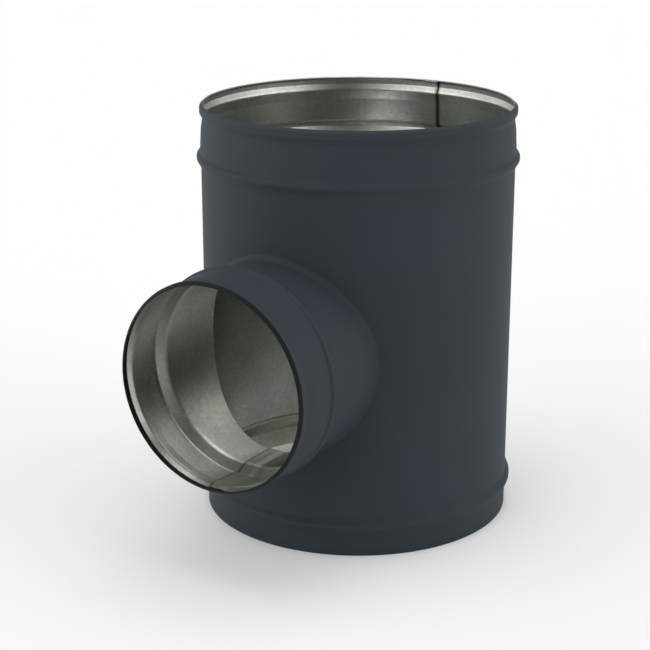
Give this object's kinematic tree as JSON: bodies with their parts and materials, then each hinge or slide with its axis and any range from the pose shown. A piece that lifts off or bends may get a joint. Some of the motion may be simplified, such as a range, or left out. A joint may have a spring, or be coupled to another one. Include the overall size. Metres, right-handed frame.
{
  "type": "reducing duct tee",
  "caption": "Reducing duct tee of rolled sheet steel, painted dark grey outside and bare metal inside, with beaded spigot ends that round ducts slide over.",
  "frame": {"origin": "on the barrel's axis at its lower edge", "axes": "+Z along the barrel's axis towards the upper spigot, -Y along the branch's axis towards its mouth"},
  "size_m": [0.2548, 0.3339, 0.3316],
  "materials": {
    "painted_sheet": "satin dark grey paint outside, bare zinc-coated steel inside"
  },
  "bodies": {
    "root": {"barrel": "painted_sheet", "branch_collar": "painted_sheet"}
  },
  "joints": []
}
